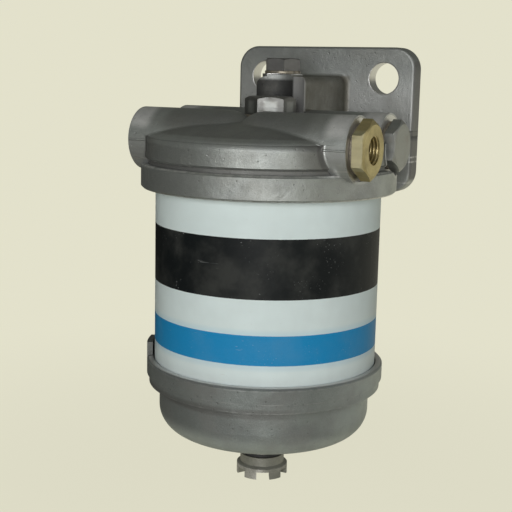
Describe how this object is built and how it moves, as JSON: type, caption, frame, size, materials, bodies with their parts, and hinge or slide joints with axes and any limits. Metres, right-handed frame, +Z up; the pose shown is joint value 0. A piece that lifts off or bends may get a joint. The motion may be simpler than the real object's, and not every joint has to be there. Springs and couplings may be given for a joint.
{
  "type": "diesel fuel filter",
  "caption": "Cast head with a mounting flange and side ports, banded canister, cast bowl with a drain plug, held by a central bolt; it cleans diesel fuel.",
  "frame": {"origin": "midway between the two flange holes, on the flange's back face", "axes": "+Y out of the back of the flange, towards the engine; +Z up along the filter; ports open along X"},
  "size_m": [0.0994, 0.1046, 0.1704],
  "materials": {
    "cast_head": "as-cast aluminium, fine grain",
    "cast_bowl": "as-cast aluminium, fine grain",
    "cast_plug": "die-cast, dull",
    "plated_steel": "zinc plated",
    "copper": "soft copper, flat",
    "brass": "turned brass",
    "seal_rubber": "moulded black rubber",
    "printed_tin": "white enamel with printed bands",
    "bare_tin": "tinplate",
    "filter_paper": "resin-treated paper"
  },
  "bodies": {
    "housing": {"filter_head": "cast_head", "centre_bolt": "plated_steel", "bolt_washer": "copper", "outlet_adaptor": "brass", "adaptor_washer": "copper", "blanking_plug": "plated_steel", "blanking_washer": "copper", "head_seal_ring": "seal_rubber", "canister": "printed_tin", "element_top_plate": "bare_tin", "element_bottom_plate": "bare_tin", "centre_tube": "bare_tin", "filter_paper": "filter_paper", "centre_seal": "seal_rubber", "bowl_seal_ring": "seal_rubber", "bowl": "cast_bowl"},
    "bleed_seal": {"bleed_washer": "copper"},
    "bleed_screw_body": {"bleed_screw": "plated_steel"},
    "drain_seal": {"drain_washer": "seal_rubber"},
    "drain_plug_body": {"drain_plug": "cast_plug"}
  },
  "joints": [
    {"name": "bleed_lift", "type": "slide", "parent": "housing", "child": "bleed_seal", "axis": [0, 0, 1], "range_m": [0, 0.0031]},
    {"name": "bleed_turn", "type": "hinge", "parent": "bleed_seal", "child": "bleed_screw_body", "pos_m": [-0.004, -0.0375, 0.0011], "axis": [0, 0, 1], "range_deg": [0, 1080]},
    {"name": "drain_drop", "type": "slide", "parent": "housing", "child": "drain_seal", "axis": [0, 0, -1], "range_m": [0, 0.0053]},
    {"name": "drain_turn", "type": "hinge", "parent": "drain_seal", "child": "drain_plug_body", "pos_m": [0, -0.0555, -0.1494], "axis": [0, 0, -1], "range_deg": [0, 1260]}
  ],
  "couplings": [
    {"joint": "bleed_lift", "follows": "bleed_turn", "m_per_rad": 0.00015915},
    {"joint": "drain_drop", "follows": "drain_turn", "m_per_rad": 0.00023873}
  ]
}
